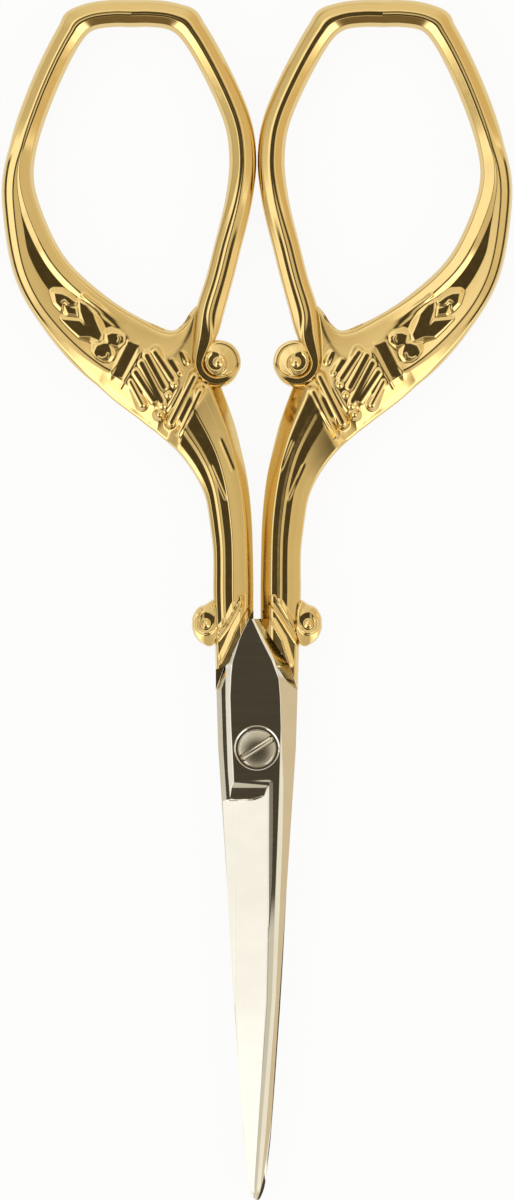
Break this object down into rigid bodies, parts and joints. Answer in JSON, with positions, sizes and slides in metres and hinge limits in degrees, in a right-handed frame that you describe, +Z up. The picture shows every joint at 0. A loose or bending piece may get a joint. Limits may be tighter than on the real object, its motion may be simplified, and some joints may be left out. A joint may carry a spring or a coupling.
{
  "type": "embroidery scissors",
  "caption": "Small pointed embroidery scissors: two steel blades crossing on a slotted screw, with cast scroll handles in gold finish and oval finger bows.",
  "frame": {"origin": "middle of the closed scissors' length and width, on the plane that the rear blade's flat lies on", "axes": "+Y along the closed blades toward the finger bows, +Z up out of the screw head, +X to the right seen from above"},
  "size_m": [0.0436, 0.102, 0.0036],
  "materials": {
    "blade_steel": "polished nickel-plated steel",
    "handle_gold": "bright gold plating over a casting",
    "screw_steel": "turned and polished steel"
  },
  "bodies": {
    "rear_half": {"rear_blade": "blade_steel", "rear_handle": "handle_gold", "pivot_screw": "screw_steel"},
    "front_half": {"front_blade": "blade_steel", "front_handle": "handle_gold"}
  },
  "joints": [
    {"name": "blade_pivot", "type": "hinge", "parent": "rear_half", "child": "front_half", "pos_m": [0, -0.0126, 0.00175], "axis": [0, 0, 1], "range_deg": [0, 105]}
  ]
}
